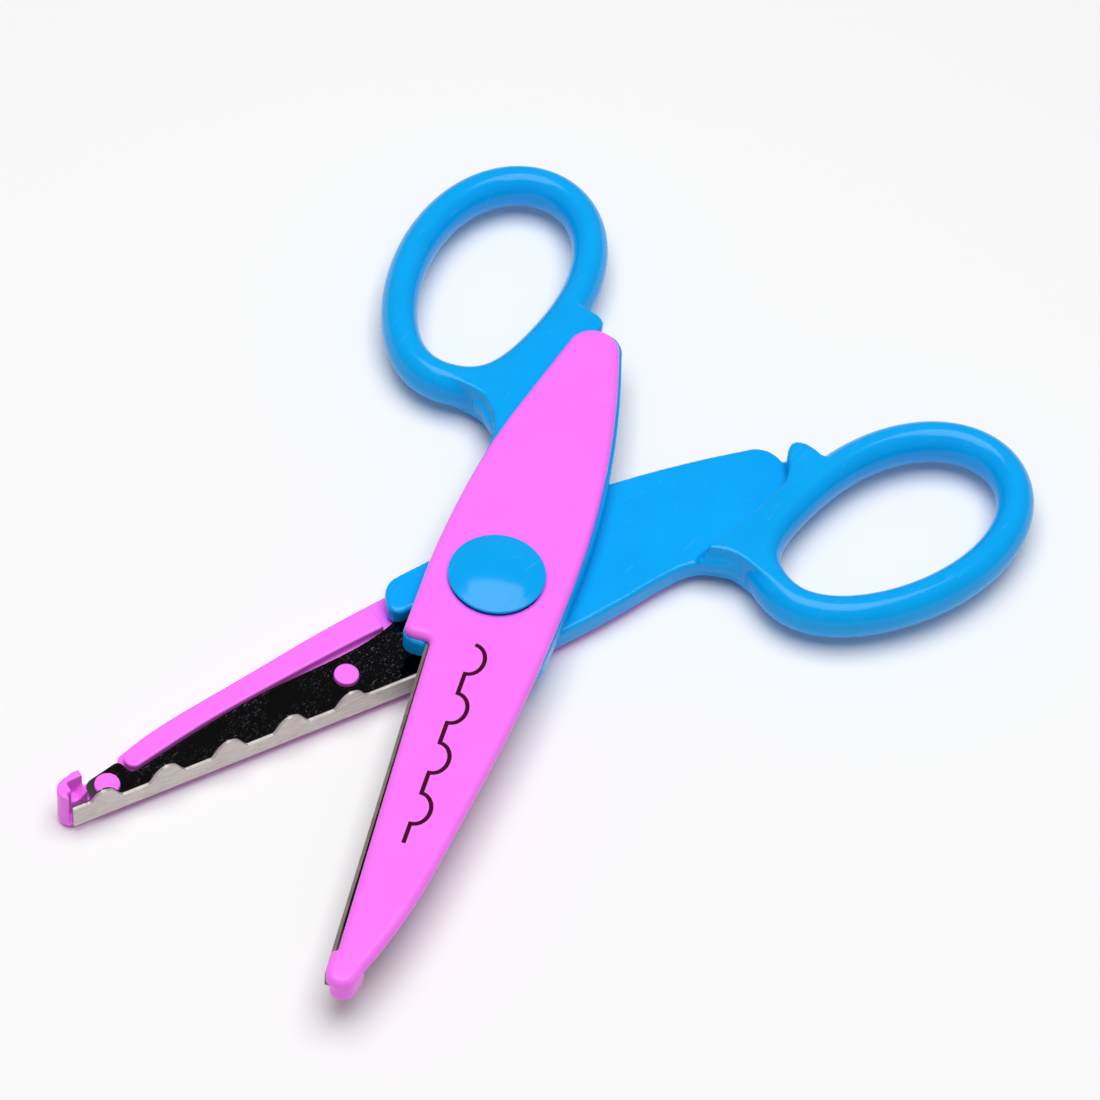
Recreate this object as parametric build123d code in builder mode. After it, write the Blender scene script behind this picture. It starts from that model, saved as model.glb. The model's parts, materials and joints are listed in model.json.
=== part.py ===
"""Decorative edge craft scissors: two halves on one rivet, the lower one turned over.

Part frame: the pivot axis is Z, Z = 0 is the outer face of the lower half, which the scissors
lie on, and +X is the middle of the opening, towards the tips.
Half frame: X runs from the pivot to the half's tip, Y towards its spine, and Z outwards from the
mid-plane between the halves, so one set of outlines serves both halves. The cutting edge and the
finger loop are both on the half's -Y side. "Depth" is measured inwards from the outer face.
"""
from build123d import *
import os
from math import cos, exp, pi, radians, sin

os.makedirs("parts", exist_ok=True)

# Driving dimensions, in millimetres and degrees
REST_OPENING = 42.84  # angle between the halves as they lie
HALF_THICKNESS = 4.5  # mid-plane to a half's outer face
COVER_FLOOR = 1.4
COVER_ROUND = 0.9  # rounding of the cover's outer edge
SHEET = 0.6  # blade thickness
MID_GAP = 0.05  # handle face to the mid-plane
RIM_DEPTH = 2.7
STUD_DEPTH = 2.65
STUD_RADIUS = 1.55
STUD_FIT = 0.05

LOOP_CENTRE = (-49.5, -14.54)
LOOP_LONG = 18.23  # semi-axes of the loop's centre line
LOOP_SHORT = 11.03
LOOP_TILT = -7.4
LOOP_EGG = -0.094  # how much fuller the far end is
LOOP_CORNER = 0.085  # how much fuller the corner next to the body is
LOOP_CORNER_ANGLE = 40
LOOP_CORNER_SPREAD = 24
LOOP_WIDTH = 4.7
LOOP_HEIGHT = 5.8
STEP_HEIGHT = 5.2  # the shoulder and web stay under the loop's crown

PIN_RADIUS = 2.0
RUNNING_CLEARANCE = 0.03
RIVET_HEAD_RADIUS = 3.6
RIVET_HEAD_HEIGHT = 0.8
WASHER_RADIUS = 5.0
WASHER_HALF_THICKNESS = 0.3
CAP_RADIUS = 6.0
CAP_FOOT_RADIUS = 5.65
CAP_SEAT_RADIUS = 5.8
CAP_HOLLOW_RADIUS = 4.6
CAP_WALL_TOP = 5.35
CAP_DOME_TOP = 6.4

EDGE_START = (13.0, -5.45)  # outer face of the cutting flange, at the root
EDGE_END = (59.5, -3.15)
WAVE_FIRST = 22.9  # distance of the first crest from the pivot
WAVE_PITCH = 8.15
WAVE_COUNT = 5
WAVE_CHORD = 4.8
WAVE_HEIGHT = 2.2
FLAT_LEVEL = -0.7  # height of the lower wave's flats above the mid-plane
ROOT_RISE = 0.5  # how much higher the edge is before the first wave
TIP_RISE = 1.0  # how much higher it is after the last one
WAVE_CLEARANCE = 0.25
PLATE_END = 56.0
TANG_REAR = -6.0  # where the tang's round end begins
TANG_TOP = 5.0
BODY_NOTCH = 9.0  # the handle's front edge stands back between its two lugs

STUD_PLACES = [(20.8, 0.05), (53.6, -0.3)]
LOWER_POST_DEPTH = 6.1
LOWER_POST_SLOPE = 0.95  # fall of the lower post's top towards the cutting edge
UPPER_POST_DEPTH = 3.6
UPPER_TIP_REACH = 61.2
LOWER_TIP_REACH = 60.4
UPPER_TIP_LIP = 0.65  # the upper cover hides the end of its flange
LOWER_BELLY_INSET = 0.6  # the lower cover's belly stands back from its handle's

# Levels in the half frame
OUTER = HALF_THICKNESS
FLOOR = OUTER - COVER_FLOOR
PLATE = FLOOR - SHEET
RIM = OUTER - RIM_DEPTH


def half_frame(side):
    """Frame of the upper half (side +1) or of the lower half (side -1)."""
    turn = radians(side * REST_OPENING / 2)
    return Plane(
        origin=(0, 0, HALF_THICKNESS), x_dir=(cos(turn), sin(turn), 0), z_dir=(0, 0, side)
    )


UPPER = half_frame(+1)
LOWER = half_frame(-1)

SPINE = [
    (-40.5, 4.8), (-25.6, 7.85), (-10.7, 9.25), (4.3, 9.0),
    (19.3, 7.95), (34.4, 6.05), (47.0, 4.15),
]
UPPER_NECK = [(57.9, 1.15)]
LOWER_NECK = [(50.3, 3.2), (50.9, 2.45), (55.6, 1.6), (57.6, 1.1)]
BELLY = [(-40.5, -1.6), (-30.6, -4.2), (-20.6, -6.55), (-10.6, -7.95), (-0.6, -8.6)]


def cover_outline(plane, reach, lip, neck, inset):
    """Plan of a cover, from its round rear end to the tip."""
    flange_side = (12.0, -4.98)
    belly = [(x, y + inset) for x, y in BELLY]
    if lip:
        tip_side = [(reach - 0.7, -2.4 - lip / 2), (reach - 1.8, -2.45 - lip),
                    (57.0, -2.52 - lip), (56.6, -2.55), flange_side]
    else:
        tip_side = [(reach - 0.7, -2.4), flange_side]
    with BuildSketch(plane) as outline:
        with BuildLine():
            Spline(*SPINE, neck[0])
            Polyline(*neck, (reach - 1.3, 0.6))
            ThreePointArc((reach - 1.3, 0.6), (reach, -1.1), tip_side[0])
            Polyline(*tip_side)
            ThreePointArc((12.0, -4.98), (11.4, -5.2), (11.2, -5.8))
            Line((11.2, -5.8), (11.2, -7.4))
            ThreePointArc((11.2, -7.4), (10.85, -8.25), (10.0, -8.6))
            Line((10.0, -8.6), belly[-1])
            Spline(*belly[::-1])
            ThreePointArc(belly[0], (-42.7, 1.2), SPINE[0])
        make_face()
    return outline.sketch


def rim_outline(plane):
    """Plan of the raised rim along the spine, which the blade lies against."""
    with BuildSketch(plane) as outline:
        with BuildLine():
            Line((13.2, 4.05), (13.2, 7.6))
            Spline((13.2, 7.6), (19.3, 7.1), (34.4, 5.2), (47.0, 3.3), (49.6, 2.6))
            ThreePointArc((49.6, 2.6), (50.3, 1.2), (49.2, 0.2))
            Spline((49.2, 0.2), (47.0, 0.6), (39.6, 1.85), (29.5, 2.92), (19.5, 3.7), (13.2, 4.05))
        make_face()
    return outline.sketch


def pocket_outline(plane):
    """Plan of the pocket in a handle that holds the blade's tang."""
    top = TANG_TOP + STUD_FIT
    bottom = EDGE_START[1] - STUD_FIT
    with BuildSketch(plane) as outline:
        with BuildLine():
            Polyline((TANG_REAR, top), (EDGE_START[0], top), (EDGE_START[0], bottom), (TANG_REAR, bottom))
            ThreePointArc((TANG_REAR, bottom), (TANG_REAR - 3.5 - STUD_FIT, 0.0), (TANG_REAR, top))
        make_face()
    return outline.sketch


def plate_outline(plane):
    """Plan of a blade: the tang round the pivot, then the part that lies in the cover."""
    with BuildSketch(plane) as outline:
        with BuildLine():
            Line((TANG_REAR, TANG_TOP), (10.0, TANG_TOP))
            Spline(
                (10.0, TANG_TOP), (13.2, 3.95), (29.5, 2.82), (39.6, 1.75), (47.0, 0.5), (49.2, 0.1),
            )
            Spline((49.2, 0.1), (50.4, 0.8), (50.7, 1.8), (51.4, 2.15))
            Line((51.4, 2.15), (54.8, 1.5))
            ThreePointArc((54.8, 1.5), (55.6, 1.1), (PLATE_END, 0.2))
            Line((PLATE_END, 0.2), (PLATE_END, edge_y(PLATE_END)))
            Line((PLATE_END, edge_y(PLATE_END)), EDGE_START)
            Line(EDGE_START, (TANG_REAR, EDGE_START[1]))
            ThreePointArc(
                (TANG_REAR, EDGE_START[1]), (TANG_REAR - 3.5, 0.0), (TANG_REAR, TANG_TOP)
            )
        make_face()
    return outline.sketch


def edge_slope():
    """Slope of the cutting edge against the half's X axis."""
    return (EDGE_END[1] - EDGE_START[1]) / (EDGE_END[0] - EDGE_START[0])


def edge_y(x):
    """Y of the flange's outer face at a distance x from the pivot."""
    return EDGE_START[1] + edge_slope() * (x - EDGE_START[0])


def body_outline(plane):
    """Plan of a handle's flat body, which the cover lies on."""
    with BuildSketch(plane) as outline:
        with BuildLine():
            Spline((-40.5, 5.2), (-25.6, 8.3), (-10.7, 9.65), (2.0, 9.3), (9.2, 8.85))
            ThreePointArc((9.2, 8.85), (10.9, 7.8), (11.7, 6.0))
            ThreePointArc((11.7, 6.0), (11.75, 4.4), (10.6, 3.8))
            Polyline((10.6, 3.8), (BODY_NOTCH, 3.8), (BODY_NOTCH, -5.0), (11.5, -5.0), (11.5, -6.9))
            ThreePointArc((11.5, -6.9), (11.1, -8.2), (9.9, -8.8))
            Line((9.9, -8.8), (-0.6, -8.5))
            Spline((-0.6, -8.5), (-10.4, -8.05), (-20.6, -6.8), (-30.6, -4.35), (-40.5, -1.75))
            ThreePointArc((-40.5, -1.75), (-43.6, 1.6), (-40.5, 5.2))
        make_face()
    return outline.sketch


def web_outline(plane):
    """Plan of the fill between the body's belly and the shoulder, on the outer side."""
    with BuildSketch(plane) as outline:
        with BuildLine():
            Spline((-17.5, -7.25), (-21.5, -6.95), (-24.4, -7.1), (-26.6, -8.0), (-28.4, -9.6))
            Polyline((-28.4, -9.6), (-31.5, -11.0), (-37.6, -5.7), (-46.0, -3.5), (-44.6, 0.2),
                     (-42.0, 1.0), (-17.5, -4.5), (-17.5, -7.25))
        make_face()
    return outline.sketch


def step_outline(plane):
    """Plan of the raised shoulder between body and loop, with the bump that stops the closing."""
    with BuildSketch(plane) as outline:
        with BuildLine():
            Spline((-47.0, -1.6), (-46.3, 0.6), (-45.1, 1.5), (-43.7, 0.8), (-42.4, -1.5),
                   (-40.6, -3.3))
            Spline((-40.6, -3.3), (-36.3, -4.75), (-31.0, -6.3), (-26.7, -7.1))
            ThreePointArc((-26.7, -7.1), (-26.25, -7.35), (-26.6, -7.8))
            Spline((-26.6, -7.8), (-28.4, -9.5), (-29.3, -11.6), (-29.8, -13.6), (-30.3, -15.6),
                   (-30.9, -17.6))
            Line((-30.9, -17.6), (-31.6, -17.5))
            Spline((-31.6, -17.5), (-31.0, -14.9), (-32.3, -10.9), (-37.7, -5.9), (-48.0, -3.3))
            Line((-48.0, -3.3), (-47.0, -1.6))
        make_face()
    return outline.sketch


def loop_centre_line(plane):
    """Egg-shaped closed centre line of a finger loop."""
    tilt = radians(LOOP_TILT)
    points = []
    for step in range(24):
        angle = 2 * pi * step / 24
        bulge = ((angle * 180 / pi - LOOP_CORNER_ANGLE) / LOOP_CORNER_SPREAD) ** 2
        corner = 1 + LOOP_CORNER * exp(-bulge)
        along = LOOP_LONG * cos(angle) * corner
        across = LOOP_SHORT * sin(angle) * (1 + LOOP_EGG * cos(angle)) * corner
        x = LOOP_CENTRE[0] + along * cos(tilt) - across * sin(tilt)
        y = LOOP_CENTRE[1] + along * sin(tilt) + across * cos(tilt)
        points.append(plane.from_local_coords((x, y, 0)))
    return Spline(*points, periodic=True)


def finger_loop(frame):
    """Oval-section finger loop, swept along its centre line in two lengths."""
    centre_line = loop_centre_line(frame)
    with BuildPart() as loop:
        for length in (centre_line.trim(0, 0.5), centre_line.trim(0.5, 1)):
            start = Plane(origin=length @ 0, x_dir=frame.z_dir, z_dir=length % 0)
            with BuildSketch(start) as section:
                Ellipse(LOOP_HEIGHT / 2, LOOP_WIDTH / 2)
            sweep(section.sketch, path=length)
    return loop.part


def handle(frame, bore_radius):
    """Moulded handle: flat body, web, shoulder and finger loop, bored for the rivet."""
    with BuildPart() as moulding:
        extrude(body_outline(frame.offset(MID_GAP)), amount=FLOOR - MID_GAP)
        extrude(web_outline(frame.offset(MID_GAP)), amount=STEP_HEIGHT / 2 - MID_GAP)
        extrude(step_outline(frame.offset(-STEP_HEIGHT / 2)), amount=STEP_HEIGHT)
        add(finger_loop(frame))
        extrude(pocket_outline(frame.offset(PLATE)), amount=SHEET, mode=Mode.SUBTRACT)
        pocket_depth = WASHER_HALF_THICKNESS - MID_GAP
        with BuildSketch(frame.offset(MID_GAP)):
            Circle(WASHER_RADIUS + RUNNING_CLEARANCE)
        extrude(amount=pocket_depth, mode=Mode.SUBTRACT)
        with Locations(frame):
            Hole(bore_radius)
    return moulding


def cover(frame, outline, reach, post_depth, post_slope=0.0):
    """Moulded cover with its spine rim, two studs, a tip post and the cap's seat."""
    near, inner = reach - 3.7, reach - 1.0
    with BuildPart() as shell:
        extrude(outline, amount=COVER_FLOOR)
        extrude(rim_outline(frame.offset(RIM)), amount=FLOOR - RIM + 0.2)
        with BuildSketch(frame.offset(OUTER - STUD_DEPTH)):
            with Locations(*STUD_PLACES):
                Circle(STUD_RADIUS)
        extrude(amount=STUD_DEPTH - COVER_FLOOR + 0.2)
        with BuildSketch(frame.offset(OUTER - post_depth)):
            with BuildLine():
                Polyline((near, 0.95), (near, -1.35), (inner, -1.35), (reach - 0.8, -2.3))
                ThreePointArc((reach - 0.8, -2.3), (reach - 0.05, -1.1), (reach - 1.3, 0.6))
                Polyline((reach - 1.3, 0.6), (reach - 2.8, 1.0), (near, 0.95))
            make_face()
        extrude(amount=post_depth - COVER_FLOOR + 0.2)
        if post_slope:
            post_top = OUTER - post_depth
            across = Plane(frame.location * Location((near - 0.5, 0, 0), (90, 0, 90)))
            with BuildSketch(across):
                with BuildLine():
                    Polyline(
                        (1.0, post_top), (-3.0, post_top + 4.0 * post_slope),
                        (-3.0, post_top - 1.0), (1.0, post_top - 1.0), (1.0, post_top),
                    )
                make_face()
            extrude(amount=6.0, mode=Mode.SUBTRACT)
        outwards = Axis(frame.origin, frame.z_dir)
        fillet(shell.faces().sort_by(outwards)[-1].edges(), COVER_ROUND)
        with Locations(frame):
            Hole(CAP_SEAT_RADIUS)
    return shell


def blade(frame, bore_radius, flat_level, wave_sense, growth):
    """Sheet blade: plate with its tang, and the wavy cutting flange bent up from it."""
    flange_angle = edge_slope() * 180 / pi
    start = Location((EDGE_START[0], EDGE_START[1], 0), (0, 0, flange_angle))
    flange_plane = Plane(frame.location * start * Location((0, 0, 0), (90, 0, 0)))
    reach = EDGE_END[0] - EDGE_START[0]
    half_chord = WAVE_CHORD / 2 + growth
    with BuildPart() as sheet:
        extrude(plate_outline(frame.offset(PLATE)), amount=SHEET)
        with BuildSketch(flange_plane):
            with BuildLine():
                level = flat_level + wave_sense * ROOT_RISE
                start_point = (0, level)
                for crest in range(WAVE_COUNT):
                    middle = WAVE_FIRST - EDGE_START[0] + crest * WAVE_PITCH
                    rise = wave_sense * WAVE_HEIGHT
                    last = crest == WAVE_COUNT - 1
                    after = flat_level + (wave_sense * TIP_RISE if last else 0)
                    shoulder = max if wave_sense > 0 else min
                    foot = (middle - half_chord, level)
                    Line(start_point, foot)
                    Spline(
                        foot,
                        (middle - 0.73 * half_chord, shoulder(level, flat_level + 0.36 * rise)),
                        (middle - 0.44 * half_chord, flat_level + 0.8 * rise),
                        (middle, flat_level + rise),
                        (middle + 0.44 * half_chord, flat_level + 0.8 * rise),
                        (middle + 0.73 * half_chord, shoulder(after, flat_level + 0.36 * rise)),
                        (middle + half_chord, after),
                    )
                    level = after
                    start_point = (middle + half_chord, after)
                Polyline(start_point, (reach, level), (reach, FLOOR), (0, FLOOR),
                         (0, flat_level + wave_sense * ROOT_RISE))
            make_face()
        extrude(amount=-SHEET)
        with BuildSketch(frame.offset(PLATE)):
            with Locations(*STUD_PLACES):
                Circle(STUD_RADIUS + STUD_FIT)
            Circle(bore_radius)
        extrude(amount=SHEET, mode=Mode.SUBTRACT)
    return sheet


def cap(frame, wall_top, dome_top, hollow_top):
    """Plug that hides one end of the rivet, turned about the pivot axis."""
    with BuildPart() as plug:
        with BuildSketch(Plane(origin=frame.origin, x_dir=frame.x_dir, z_dir=-frame.y_dir)):
            with BuildLine():
                Polyline(
                    (0, dome_top), (0, hollow_top), (CAP_HOLLOW_RADIUS, hollow_top),
                    (CAP_HOLLOW_RADIUS, FLOOR), (CAP_FOOT_RADIUS, FLOOR), (CAP_FOOT_RADIUS, OUTER),
                )
                if dome_top > wall_top:
                    Line((CAP_FOOT_RADIUS, OUTER), (CAP_RADIUS, wall_top))
                    TangentArc((0, dome_top), (CAP_RADIUS, wall_top), tangent=(1, 0))
                else:
                    Line((CAP_FOOT_RADIUS, OUTER), (0, dome_top))
            make_face()
        revolve(axis=Axis(frame.origin, frame.z_dir))
    return plug


upper_handle = handle(UPPER, PIN_RADIUS + RUNNING_CLEARANCE)
lower_handle = handle(LOWER, PIN_RADIUS)
upper_outline = cover_outline(
    UPPER.offset(FLOOR), UPPER_TIP_REACH, UPPER_TIP_LIP, UPPER_NECK, 0.0
)
lower_outline = cover_outline(
    LOWER.offset(FLOOR), LOWER_TIP_REACH, 0.0, LOWER_NECK, LOWER_BELLY_INSET
)
upper_cover = cover(UPPER, upper_outline, UPPER_TIP_REACH, UPPER_POST_DEPTH)
lower_cover = cover(
    LOWER, lower_outline, LOWER_TIP_REACH, LOWER_POST_DEPTH, LOWER_POST_SLOPE
)
upper_blade = blade(UPPER, PIN_RADIUS + RUNNING_CLEARANCE, FLAT_LEVEL + WAVE_CLEARANCE, 1, 0.2)
lower_blade = blade(LOWER, PIN_RADIUS, -FLAT_LEVEL, -1, 0.0)
pivot_cap = cap(UPPER, CAP_WALL_TOP, CAP_DOME_TOP, CAP_WALL_TOP - 0.3)
base_cap = cap(LOWER, OUTER, OUTER, OUTER - 0.4)

with BuildPart() as pivot_rivet:
    with Locations((0, 0, HALF_THICKNESS)):
        Cylinder(PIN_RADIUS, 2 * FLOOR + 2 * MID_GAP)
    top_head = HALF_THICKNESS + FLOOR + MID_GAP + RIVET_HEAD_HEIGHT / 2
    bottom_head = HALF_THICKNESS - FLOOR - RIVET_HEAD_HEIGHT / 2
    with Locations((0, 0, top_head), (0, 0, bottom_head)):
        Cylinder(RIVET_HEAD_RADIUS, RIVET_HEAD_HEIGHT)

with BuildPart() as pivot_washer:
    with Locations((0, 0, HALF_THICKNESS)):
        Cylinder(WASHER_RADIUS, 2 * WASHER_HALF_THICKNESS - RUNNING_CLEARANCE)
        Hole(PIN_RADIUS + RUNNING_CLEARANCE)

PIECES = {
    "upper_handle": upper_handle,
    "upper_cover": upper_cover,
    "upper_blade": upper_blade,
    "pivot_cap": pivot_cap,
    "lower_handle": lower_handle,
    "lower_cover": lower_cover,
    "lower_blade": lower_blade,
    "base_cap": base_cap,
    "pivot_rivet": pivot_rivet,
    "pivot_washer": pivot_washer,
}
for node, piece in PIECES.items():
    piece.part.label = node
    export_step(piece.part, f"parts/{node}.step")
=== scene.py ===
"""Decorative edge scissors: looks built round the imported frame. Lengths are in metres."""
import json
from math import atan2, cos, exp, pi, radians, sin

import bmesh
import bpy
from mathutils import Matrix, Vector

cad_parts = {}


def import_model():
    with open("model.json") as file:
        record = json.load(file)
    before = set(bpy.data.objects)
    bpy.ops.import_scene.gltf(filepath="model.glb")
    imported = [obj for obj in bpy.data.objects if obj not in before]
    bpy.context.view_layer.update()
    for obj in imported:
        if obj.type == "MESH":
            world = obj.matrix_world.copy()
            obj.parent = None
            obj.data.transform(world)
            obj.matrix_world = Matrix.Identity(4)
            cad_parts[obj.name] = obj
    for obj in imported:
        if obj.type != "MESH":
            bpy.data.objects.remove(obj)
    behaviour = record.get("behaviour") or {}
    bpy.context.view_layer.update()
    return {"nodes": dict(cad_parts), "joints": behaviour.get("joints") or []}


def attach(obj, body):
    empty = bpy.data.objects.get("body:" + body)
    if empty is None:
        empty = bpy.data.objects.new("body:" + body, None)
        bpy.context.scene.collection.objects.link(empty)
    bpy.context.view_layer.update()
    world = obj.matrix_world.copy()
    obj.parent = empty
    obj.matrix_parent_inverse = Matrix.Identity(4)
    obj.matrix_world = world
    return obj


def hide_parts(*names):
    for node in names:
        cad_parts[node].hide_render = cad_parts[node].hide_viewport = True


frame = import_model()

MM = 0.001
PIVOT = Vector(frame["joints"][0]["pos_m"])
THICKNESS = 2 * PIVOT.z
OPENING = radians(42.84)
UPPER, LOWER = +1, -1

# Finger loop: centre line and section, in the frame of a half
LOOP_CENTRE = (-49.5 * MM, -14.54 * MM)
LOOP_LONG = 18.23 * MM
LOOP_SHORT = 11.03 * MM
LOOP_TILT = radians(-7.4)
LOOP_EGG = -0.094
LOOP_CORNER = 0.085
LOOP_CORNER_ANGLE = 40
LOOP_CORNER_SPREAD = 24
TUBE_WIDTH = 4.8 * MM
TUBE_HEIGHT = 5.95 * MM

# Thick part between body and loop, level with the loop's crown: each list is one smooth curve
CROWN = 2.86 * MM
SHOULDER = [
    [(-48.0, -3.3), (-47.0, -1.6), (-46.3, 0.6), (-45.1, 1.5), (-43.7, 0.8), (-42.4, -1.5),
     (-40.6, -3.3)],
    [(-40.6, -3.3), (-36.3, -4.75), (-31.0, -6.3), (-26.7, -7.1)],
    [(-26.7, -7.1), (-26.25, -7.35), (-26.6, -7.8)],
    [(-26.6, -7.8), (-28.4, -9.5), (-29.3, -11.6), (-29.8, -13.6), (-30.3, -15.6), (-30.9, -17.6)],
    [(-31.6, -17.5), (-31.0, -14.9), (-32.3, -10.9), (-37.7, -5.9), (-48.0, -3.3)],
]

# Fill between the body's belly and the shoulder, on the outer side only
WEB_FOOT = 0.06 * MM
WEB_TOP = 2.9 * MM
WEB = [
    [(-17.5, -7.25), (-21.5, -6.95), (-24.4, -7.1), (-26.6, -8.0), (-28.4, -9.6)],
    [(-28.4, -9.6), (-31.5, -11.0)],
    [(-37.6, -5.7), (-46.0, -3.5), (-44.6, 0.2), (-42.0, 1.0)],
    [(-42.0, 1.0), (-17.5, -4.5)],
]

# Coves at the foot of the shoulder: top and bottom level, and outline
COVES = [
    (1.2, -0.7, [(-31.5, -6.0), (-28.5, -6.2), (-26.6, -6.3), (-25.3, -6.9), (-25.1, -7.6),
                 (-26.2, -8.6), (-27.7, -9.7), (-28.7, -11.2), (-31.0, -11.0), (-33.0, -8.0)]),
    (0.4, -1.5, [(-31.2, -6.2), (-28.6, -6.5), (-26.7, -6.7), (-25.8, -7.1), (-25.8, -7.7),
                 (-26.7, -8.4), (-28.0, -9.5), (-28.9, -11.0), (-31.0, -11.0), (-33.0, -8.0)]),
]

# Pivot cap, heights above the mid-plane
CAP_RADIUS = 6.0 * MM
CAP_FOOT_RADIUS = 5.65 * MM
CAP_WALL_TOP = 5.35 * MM
CAP_DOME_TOP = 6.4 * MM
CAP_FLOOR = 3.1 * MM
CAP_SHELL = 1.6 * MM
CAP_EDGE_ROUND = 0.35 * MM
CAP_EDGE_DROP = 0.6     # how far the rounding reaches down, against how far it reaches in

# Outer face of a cutting flange in plan, in millimetres
EDGE_START = (13.0, -5.45)
EDGE_END = (59.5, -3.15)

# Blade steel. The ground strip is measured inwards from that face, and the plate turns dull
# towards the tip.
GROUND_INNER = 0.46 * MM
GROUND_FULL = 0.32 * MM
DULL_START = 52.5 * MM
DULL_FULL = 57.0 * MM
PLATE_TONE = (0.02, 0.02, 0.022, 1)
SPECK_TONE = (0.55, 0.57, 0.62, 1)
DULL_TONE = (0.30, 0.29, 0.28, 1)
# Ground strip tones for each half: the lower half's is the steel's own lit tone, the upper half's is
# far darker as painted shade on its flange.
GROUND_TONES_UPPER_PAINTED_SHADE = {
    UPPER: ((0.13, 0.10, 0.085, 1), (0.22, 0.18, 0.155, 1)),
    LOWER: ((0.52, 0.47, 0.45, 1), (0.74, 0.68, 0.65, 1)),
}

# Line printed on the upper cover
LINE_START = 10.7 * MM
LINE_END = 40.7 * MM
LINE_LEVEL = 0.4 * MM
LINE_WIDTH = 0.52 * MM
LINE_PITCH = 7.55 * MM
LINE_CHORD = 4.5 * MM
LINE_RISE = 1.75 * MM
LINE_ARCS = 4
MITRE_LIMIT = 0.6
INK = 0.02 * MM

# Soft-edged copies of the mouldings
HANDLE_VOXEL = 0.25 * MM
HANDLE_EASE = 10
COVER_VOXEL = 0.16 * MM
COVER_EASE = 3


def half_matrix(side):
    """Frame of a half: X to its tip, Y to its spine, Z outwards from the mid-plane."""
    turn = Matrix.Rotation(side * OPENING / 2, 4, "Z")
    flip = Matrix.Rotation(0 if side > 0 else pi, 4, "X")
    return Matrix.Translation(PIVOT) @ turn @ flip


def new_object(name, mesh):
    """An object in the scene's collection that holds this mesh."""
    piece = bpy.data.objects.new(name, mesh)
    bpy.context.scene.collection.objects.link(piece)
    return piece


def smooth_shade(piece):
    """Smooth shading on every face."""
    for polygon in piece.data.polygons:
        polygon.use_smooth = True


def finish_modifiers(piece):
    """Bakes a piece's modifiers into its mesh."""
    graph = bpy.context.evaluated_depsgraph_get()
    baked = bpy.data.meshes.new_from_object(piece.evaluated_get(graph))
    piece.modifiers.clear()
    piece.data = baked
    return piece


# ---------------------------------------------------------------- materials

def node_material(name):
    """A material with its node tree and Principled shader."""
    material = bpy.data.materials.new(name)
    material.use_nodes = True
    tree = material.node_tree
    return material, tree, tree.nodes["Principled BSDF"]


def add_node(tree, kind, **settings):
    """A node with some of its properties or inputs set."""
    node = tree.nodes.new(kind)
    for key, value in settings.items():
        if hasattr(node, key):
            setattr(node, key, value)
        else:
            node.inputs[key.replace("_", " ")].default_value = value
    return node


def object_position(tree):
    """Position in the object's own coordinates."""
    return add_node(tree, "ShaderNodeTexCoord").outputs["Object"]


def noise(tree, position, **settings):
    """Noise at a position."""
    node = add_node(tree, "ShaderNodeTexNoise", **settings)
    tree.links.new(position, node.inputs["Vector"])
    return node.outputs["Fac"]


def stretched(tree, position, turn, scale):
    """A position turned about Z and scaled, so that noise comes out as strokes."""
    node = add_node(tree, "ShaderNodeMapping")
    node.inputs["Rotation"].default_value = (0.0, 0.0, turn)
    node.inputs["Scale"].default_value = scale
    tree.links.new(position, node.inputs["Vector"])
    return node.outputs["Vector"]


def colour_mix(tree, factor, first, second):
    """Mixes two colours; each may be a socket or an RGBA tuple."""
    mix = tree.nodes.new("ShaderNodeMix")
    mix.data_type = "RGBA"
    tree.links.new(factor, mix.inputs["Factor"])
    for socket, value in ((mix.inputs[6], first), (mix.inputs[7], second)):
        if isinstance(value, tuple):
            socket.default_value = value
        else:
            tree.links.new(value, socket)
    return mix.outputs[2]


def ramp(tree, source, low, high):
    """Maps source from low..high to 0..1."""
    node = tree.nodes.new("ShaderNodeMapRange")
    node.inputs["From Min"].default_value = low
    node.inputs["From Max"].default_value = high
    tree.links.new(source, node.inputs["Value"])
    return node.outputs["Result"]


def span(tree, source, low, high):
    """Maps source from 0..1 to low..high."""
    node = tree.nodes.new("ShaderNodeMapRange")
    node.inputs["To Min"].default_value = low
    node.inputs["To Max"].default_value = high
    tree.links.new(source, node.inputs["Value"])
    return node.outputs["Result"]


def combine(tree, operation, first, second):
    """Maths on a socket and another socket or number."""
    node = add_node(tree, "ShaderNodeMath", operation=operation)
    tree.links.new(first, node.inputs[0])
    if isinstance(second, float):
        node.inputs[1].default_value = second
    else:
        tree.links.new(second, node.inputs[1])
    return node.outputs[0]


def measure(tree, position, direction):
    """Distance of a position along a direction."""
    node = add_node(tree, "ShaderNodeVectorMath", operation="DOT_PRODUCT")
    node.inputs[1].default_value = direction
    tree.links.new(position, node.inputs[0])
    return node.outputs["Value"]


def roughen(tree, shader, height, strength, distance):
    """Bumps a shader's surface by a height."""
    bump = add_node(tree, "ShaderNodeBump", Strength=strength, Distance=distance)
    tree.links.new(height, bump.inputs["Height"])
    tree.links.new(bump.outputs["Normal"], shader.inputs["Normal"])


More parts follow.
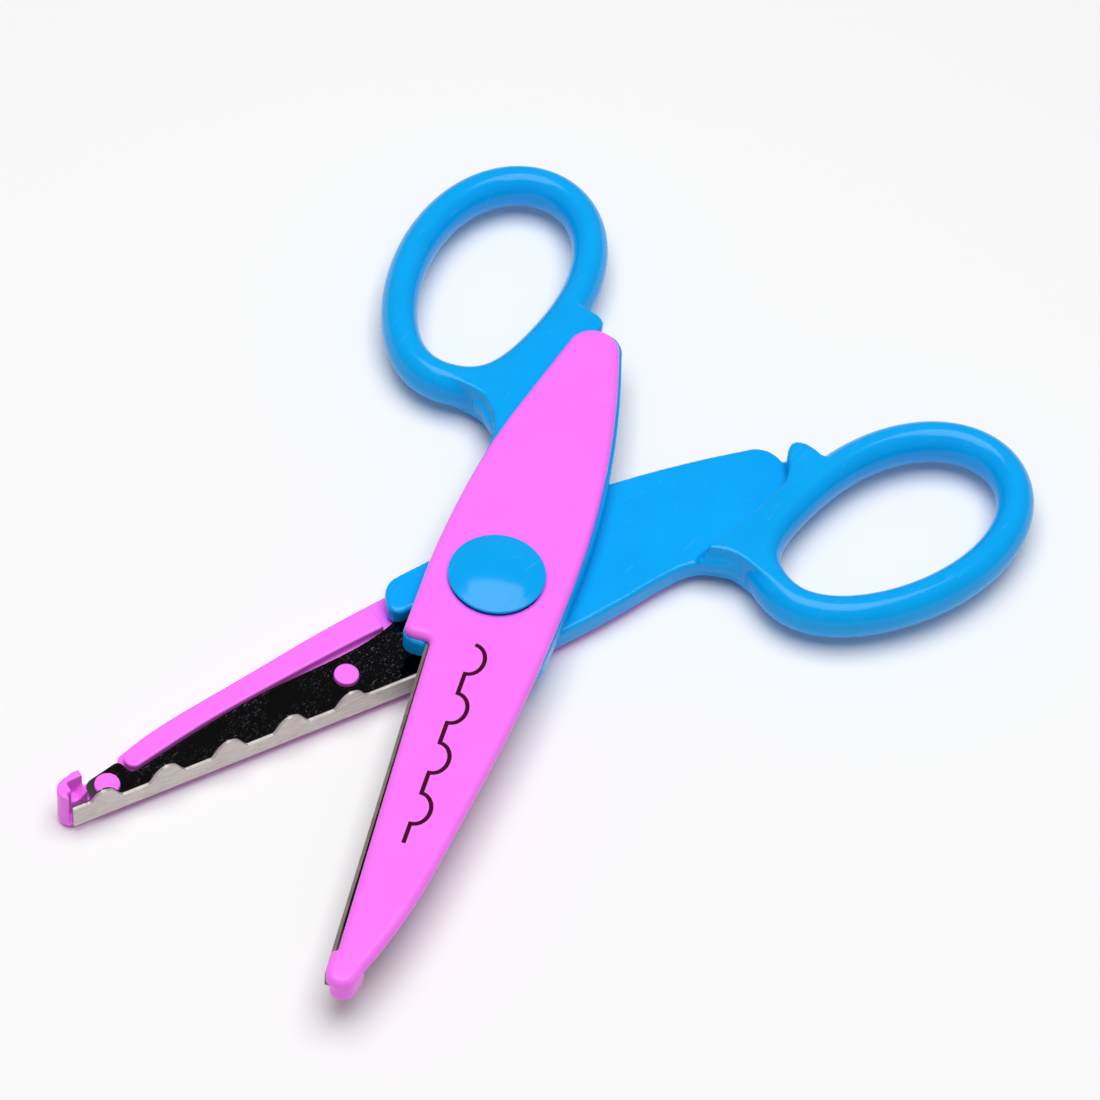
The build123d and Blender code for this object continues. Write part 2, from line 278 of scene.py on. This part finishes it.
def plastic(name, colour, deep, roughness, scratches):
    """Glossy moulded plastic: slight mottling, orange-peel bump and fine handling scratches."""
    material, tree, shader = node_material(name)
    position = object_position(tree)
    mottle = noise(tree, position, Scale=140.0, Detail=3.0, Roughness=0.55)
    peel = noise(tree, position, Scale=1300.0, Detail=2.0, Roughness=0.5)
    strokes = stretched(tree, position, radians(38), (260.0, 6500.0, 260.0))
    streaks = noise(tree, strokes, Scale=1.0, Detail=1.5, Roughness=0.6)
    base = colour_mix(tree, ramp(tree, mottle, 0.3, 0.7), deep, colour)
    faint = combine(tree, "MULTIPLY", ramp(tree, streaks, 0.69, 0.73), scratches)
    pale = tuple(min(1.0, 0.45 + 0.6 * value) for value in colour[:3]) + (1.0,)
    tree.links.new(colour_mix(tree, faint, base, pale), shader.inputs["Base Color"])
    gloss = span(tree, mottle, roughness - 0.03, roughness + 0.05)
    tree.links.new(gloss, shader.inputs["Roughness"])
    roughen(tree, shader, peel, 0.05, 0.00005)
    shader.inputs["Specular IOR Level"].default_value = 0.22
    return material


def speck_marks(tree, position):
    """Specks and short strokes, gathered in patches."""
    specks = noise(tree, position, Scale=3600.0, Detail=2.0, Roughness=0.7)
    clouds = noise(tree, position, Scale=170.0, Detail=2.0, Roughness=0.5)
    slant = stretched(tree, position, radians(-40), (800.0, 4600.0, 800.0))
    lines = noise(tree, slant, Scale=1.0, Detail=2.0, Roughness=0.7)
    either = combine(tree, "MAXIMUM", ramp(tree, specks, 0.62, 0.72), ramp(tree, lines, 0.63, 0.76))
    return combine(tree, "MULTIPLY", either, ramp(tree, clouds, 0.42, 0.60))


def blade_steel(name, side):
    """Mirror-dark plate with bright specks, and a fine-ground strip along the cutting flange; the
    strip's dark tone on the upper half is painted shade.
    """
    material, tree, shader = node_material(name)
    position = object_position(tree)
    turn = half_matrix(side).to_3x3()
    edge = Vector(EDGE_END) - Vector(EDGE_START)
    across = turn @ Vector((-edge.y, edge.x, 0)).normalized()
    along = turn @ Vector((1, 0, 0))
    start = turn @ Vector((*EDGE_START, 0)) * MM
    face = across.dot(start) + across.dot(PIVOT)
    middle = along.dot(PIVOT)
    inset = measure(tree, position, across)
    ground = ramp(tree, inset, face + GROUND_INNER, face + GROUND_FULL)
    reach = measure(tree, position, along)
    dull = ramp(tree, reach, middle + DULL_START, middle + DULL_FULL)

    plate = colour_mix(tree, speck_marks(tree, position), PLATE_TONE, SPECK_TONE)
    plate = colour_mix(tree, dull, plate, DULL_TONE)
    drawn = stretched(tree, position, -side * OPENING / 2, (700.0, 700.0, 5200.0))
    grain = noise(tree, drawn, Scale=1.0, Detail=3.0, Roughness=0.6)
    # On the upper half these strip tones are painted shade, darker than the same steel on the lower
    # half.
    dark, pale = GROUND_TONES_UPPER_PAINTED_SHADE[side]
    strip = colour_mix(tree, ramp(tree, grain, 0.3, 0.7), dark, pale)
    tree.links.new(colour_mix(tree, ground, plate, strip), shader.inputs["Base Color"])
    tree.links.new(span(tree, ground, 0.1, 0.42), shader.inputs["Roughness"])
    tree.links.new(span(tree, ground, 1.0, 0.5), shader.inputs["Metallic"])
    roughen(tree, shader, grain, 0.15, 0.00004)
    return material


def turned_steel(name):
    """Plain turned steel with faint rings."""
    material, tree, shader = node_material(name)
    rings = add_node(tree, "ShaderNodeTexWave", wave_type="RINGS", rings_direction="Z")
    rings.inputs["Scale"].default_value = 900.0
    rings.inputs["Distortion"].default_value = 0.6
    tree.links.new(object_position(tree), rings.inputs["Vector"])
    tone = colour_mix(tree, rings.outputs["Fac"], (0.42, 0.42, 0.43, 1), (0.6, 0.6, 0.61, 1))
    tree.links.new(tone, shader.inputs["Base Color"])
    shader.inputs["Metallic"].default_value = 1.0
    shader.inputs["Roughness"].default_value = 0.3
    return material


def ink(name):
    """Printed ink, a little uneven."""
    material, tree, shader = node_material(name)
    blots = noise(tree, object_position(tree), Scale=2500.0, Detail=2.0)
    tone = ramp(tree, blots, 0.35, 0.7)
    colour = colour_mix(tree, tone, (0.035, 0.0, 0.010, 1), (0.070, 0.0, 0.020, 1))
    tree.links.new(colour, shader.inputs["Base Color"])
    shader.inputs["Roughness"].default_value = 0.6
    shader.inputs["Specular IOR Level"].default_value = 0.1
    return material


BLUE = plastic("blue_plastic", (0.0, 0.40, 0.93, 1), (0.0, 0.37, 0.88, 1), 0.15, 0.10)
PINK = plastic("pink_plastic", (1.0, 0.20, 0.98, 1), (0.98, 0.185, 0.95, 1), 0.24, 0.03)
STEEL = turned_steel("turned_steel")
INK_MATERIAL = ink("printed_ink")


# ---------------------------------------------------------------- pieces

def moulded(node, name, voxel, passes, extra=None):
    """A soft-edged copy of a CAD node: its mesh, remeshed and eased so that edges turn round."""
    source = frame["nodes"][node]
    work = bmesh.new()
    work.from_mesh(source.data)
    if extra:
        extra(work)
    mesh = bpy.data.meshes.new(name)
    work.to_mesh(mesh)
    work.free()
    piece = new_object(name, mesh)
    remesh = piece.modifiers.new("remesh", "REMESH")
    remesh.mode = "VOXEL"
    remesh.voxel_size = voxel
    remesh.use_smooth_shade = True
    ease = piece.modifiers.new("ease", "SMOOTH")
    ease.factor = 0.5
    ease.iterations = passes
    finish_modifiers(piece)
    smooth_shade(piece)
    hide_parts(node)
    return piece


def loop_point(angle):
    """A point of the finger loop's centre line, about the loop's centre."""
    turn = ((angle + pi) % (2 * pi) - pi) * 180 / pi
    bulge = ((turn - LOOP_CORNER_ANGLE) / LOOP_CORNER_SPREAD) ** 2
    corner = 1 + LOOP_CORNER * exp(-bulge)
    egg = 1 + LOOP_EGG * cos(angle)
    return Vector((LOOP_LONG * cos(angle), LOOP_SHORT * sin(angle) * egg, 0)) * corner


def smooth_outline(curves, steps=5):
    """One outline from several curves, each a Catmull-Rom curve through its points."""
    outline = []
    for curve in curves:
        points = [Vector(point) for point in curve]
        points = [2 * points[0] - points[1]] + points + [2 * points[-1] - points[-2]]
        for first, second, third, fourth in zip(points, points[1:], points[2:], points[3:]):
            for step in range(steps):
                part = step / steps
                straight = 2 * second + (third - first) * part
                square = (2 * first - 5 * second + 4 * third - fourth) * part ** 2
                cube = (3 * second - first - 3 * third + fourth) * part ** 3
                outline.append((straight + square + cube) / 2)
        outline.append(Vector(curve[-1]))
    return [point for index, point in enumerate(outline) if (point - outline[index - 1]).length > 0.01]


def prism(work, place, outline, low, high):
    """Adds an upright prism over an outline in millimetres, between two heights."""
    rings = [[work.verts.new(place @ Vector((x * MM, y * MM, level))) for x, y in outline]
             for level in (low, high)]
    count = len(outline)
    for index in range(count):
        after = (index + 1) % count
        work.faces.new((rings[0][index], rings[0][after], rings[1][after], rings[1][index]))
    for ring in rings:
        work.faces.new(ring)


def loop_and_shoulder(side, around=160, section=28):
    """Adds the finger loop's tube and the shoulder to a bmesh, a little proud of the CAD ones."""
    place = half_matrix(side)

    def build(work):
        prism(work, place, smooth_outline(SHOULDER), -CROWN, CROWN)
        prism(work, place, smooth_outline(WEB), WEB_FOOT, WEB_TOP)
        for high, low, outline in COVES:
            prism(work, place, outline, low * MM, high * MM)
        rings = []
        for step in range(around):
            angle = 2 * pi * step / around
            centre = loop_point(angle)
            ahead = loop_point(angle + 0.01) - loop_point(angle - 0.01)
            outward = Vector((ahead.y, -ahead.x, 0)).normalized()
            ring = []
            for turn in range(section):
                phi = 2 * pi * turn / section
                point = centre + outward * (TUBE_WIDTH / 2 * cos(phi))
                point.z = TUBE_HEIGHT / 2 * sin(phi)
                point = Matrix.Rotation(LOOP_TILT, 4, "Z") @ point
                point += Vector((*LOOP_CENTRE, 0))
                ring.append(work.verts.new(place @ point))
            rings.append(ring)
        for step, ring in enumerate(rings):
            following = rings[(step + 1) % around]
            for turn in range(section):
                after = (turn + 1) % section
                work.faces.new((ring[turn], ring[after], following[after], following[turn]))
    return build


def lathe(name, profile, side, segments=96):
    """A turned piece: profile points (radius, height above the mid-plane) about the pivot."""
    place = half_matrix(side)
    work = bmesh.new()
    rings = []
    for radius, height in profile:
        if radius == 0:
            rings.append([work.verts.new(place @ Vector((0, 0, height)))])
            continue
        ring = []
        for step in range(segments):
            angle = 2 * pi * step / segments
            spot = Vector((radius * cos(angle), radius * sin(angle), height))
            ring.append(work.verts.new(place @ spot))
        rings.append(ring)
    for first, second in zip(rings, rings[1:]):
        for step in range(segments if len(first) + len(second) > 2 else 0):
            after = (step + 1) % segments
            corners = [first[step % len(first)], first[after % len(first)],
                       second[after % len(second)], second[step % len(second)]]
            work.faces.new(list(dict.fromkeys(corners)))
    bmesh.ops.recalc_face_normals(work, faces=work.faces)
    mesh = bpy.data.meshes.new(name)
    work.to_mesh(mesh)
    work.free()
    piece = new_object(name, mesh)
    smooth_shade(piece)
    return piece


def dome_profile(steps=14, edge_steps=6):
    """Profile of the domed button from its narrower foot to the crown, then back down inside."""
    rim = CAP_RADIUS - CAP_EDGE_ROUND
    rise = CAP_DOME_TOP - CAP_WALL_TOP
    sphere = (rim ** 2 + rise ** 2) / (2 * rise)
    lean = atan2(rim, sphere - rise)
    profile = [(CAP_FOOT_RADIUS, CAP_FLOOR), (CAP_FOOT_RADIUS, THICKNESS / 2)]
    for step in range(edge_steps + 1):
        angle = step / edge_steps * (pi / 2 - lean)
        profile.append((CAP_RADIUS - CAP_EDGE_ROUND * (1 - cos(angle)),
                        CAP_WALL_TOP - CAP_EDGE_ROUND * (1 - sin(angle)) * CAP_EDGE_DROP))
    for step in range(1, steps + 1):
        angle = lean * (1 - step / steps)
        profile.append((sphere * sin(angle), CAP_DOME_TOP - sphere * (1 - cos(angle))))
    hollow, ceiling = CAP_RADIUS - CAP_SHELL, CAP_FLOOR + CAP_SHELL
    profile += [(0, ceiling), (hollow, ceiling), (hollow, CAP_FLOOR), (CAP_FOOT_RADIUS, CAP_FLOOR)]
    return profile


def printed_line():
    """The wavy line printed on the upper cover."""
    path = []
    for arc in range(LINE_ARCS):
        left = LINE_START + arc * LINE_PITCH
        path.append(Vector((left, LINE_LEVEL, 0)))
        for step in range(1, 16):
            part = step / 16
            path.append(Vector((left + LINE_CHORD * (1 - cos(pi * part)) / 2,
                                LINE_LEVEL + LINE_RISE * sin(pi * part), 0)))
        path.append(Vector((left + LINE_CHORD, LINE_LEVEL, 0)))
    path.append(Vector((LINE_END, LINE_LEVEL, 0)))
    place = half_matrix(UPPER)
    top = THICKNESS / 2 + INK
    work = bmesh.new()
    previous = None
    for index, point in enumerate(path):
        before = (point - path[max(index - 1, 0)]).normalized()
        after = (path[min(index + 1, len(path) - 1)] - point).normalized()
        tangent = (before + after).normalized()
        normal = Vector((-tangent.y, tangent.x, 0))
        bend = before.dot(tangent) if before.length else 1
        spread = 1 / max(MITRE_LIMIT, abs(bend))
        pair = []
        for sign in (1, -1):
            spot = point + normal * (sign * LINE_WIDTH / 2 * spread)
            pair.append([work.verts.new(place @ Vector((spot.x, spot.y, level)))
                         for level in (top, top - 3 * INK)])
        if previous:
            (a, a_low), (b, b_low) = previous
            (c, c_low), (d, d_low) = pair
            for face in ((a, b, d, c), (a_low, c_low, d_low, b_low),
                         (a, c, c_low, a_low), (b, b_low, d_low, d)):
                work.faces.new(face)
        previous = pair
    bmesh.ops.recalc_face_normals(work, faces=work.faces)
    mesh = bpy.data.meshes.new("printed_line")
    work.to_mesh(mesh)
    work.free()
    piece = new_object("printed_line", mesh)
    piece.data.materials.append(INK_MATERIAL)
    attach(piece, "upper_half")


for half, side in (("upper", UPPER), ("lower", LOWER)):
    body = half + "_half"
    handle = moulded(half + "_handle", half + "_handle_moulding", HANDLE_VOXEL, HANDLE_EASE,
                     loop_and_shoulder(side))
    handle.data.materials.append(BLUE)
    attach(handle, body)
    cover = moulded(half + "_cover", half + "_cover_moulding", COVER_VOXEL, COVER_EASE)
    cover.data.materials.append(PINK)
    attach(cover, body)
    blade = frame["nodes"][half + "_blade"]
    blade.data.materials.clear()
    blade.data.materials.append(blade_steel(half + "_blade_steel", side))

button = lathe("pivot_cap_button", dome_profile(), UPPER)
button.data.materials.append(BLUE)
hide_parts("pivot_cap")
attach(button, "upper_half")

for node, material in (("base_cap", BLUE), ("pivot_rivet", STEEL), ("pivot_washer", STEEL)):
    mesh = frame["nodes"][node].data
    mesh.materials.clear()
    mesh.materials.append(material)

printed_line()


# ---------------------------------------------------------------- stage, light and camera

def floor():
    """A plain pale floor."""
    work = bmesh.new()
    bmesh.ops.create_grid(work, x_segments=2, y_segments=2, size=2.0)
    mesh = bpy.data.meshes.new("floor")
    work.to_mesh(mesh)
    work.free()
    piece = new_object("floor", mesh)
    material, _, shader = node_material("floor")
    shader.inputs["Base Color"].default_value = (0.93, 0.93, 0.93, 1)
    shader.inputs["Roughness"].default_value = 0.8
    mesh.materials.append(material)


def area_light(name, place, size, power, turn):
    """A soft square light that shines straight down, turned about the upright axis."""
    data = bpy.data.lights.new(name, "AREA")
    data.size = size
    data.energy = power
    lamp = bpy.data.objects.new(name, data)
    bpy.context.scene.collection.objects.link(lamp)
    lamp.location = place
    lamp.rotation_euler = (0, 0, turn)


def world():
    """Even pale surroundings."""
    scene = bpy.context.scene
    scene.world = bpy.data.worlds.new("studio")
    scene.world.use_nodes = True
    background = scene.world.node_tree.nodes["Background"]
    background.inputs["Color"].default_value = (1, 1, 1, 1)
    background.inputs["Strength"].default_value = 0.22
    scene.view_settings.view_transform = "Standard"


def camera():
    """The camera, by where the pivot's middle stands in its view."""
    elevation, azimuth, roll = radians(52.102), radians(211.574), radians(6.825)
    distance = 503.34 * MM
    focal = 3.7293      # of the picture's width
    across, down = -0.05058, 0.04466    # pivot from the picture's centre, of its width
    forward = Vector((cos(elevation) * cos(azimuth), cos(elevation) * sin(azimuth), -sin(elevation)))
    level = Vector((sin(azimuth), -cos(azimuth), 0))
    upright = level.cross(forward)
    right = cos(roll) * level + sin(roll) * upright
    up = cos(roll) * upright - sin(roll) * level
    data = bpy.data.cameras.new("camera")
    data.sensor_width = 36.0
    data.lens = 36.0 * focal
    data.clip_start = 0.01
    eye = bpy.data.objects.new("camera", data)
    bpy.context.scene.collection.objects.link(eye)
    place = PIVOT - distance * (forward + right * (across / focal) - up * (down / focal))
    turn = Matrix((right, up, -forward)).transposed()
    eye.matrix_world = Matrix.Translation(place) @ turn.to_4x4()
    bpy.context.scene.camera = eye


floor()
world()
area_light("softbox", (0.0, 0.0, 0.7), 0.6, 4.9, radians(31.6))
camera()
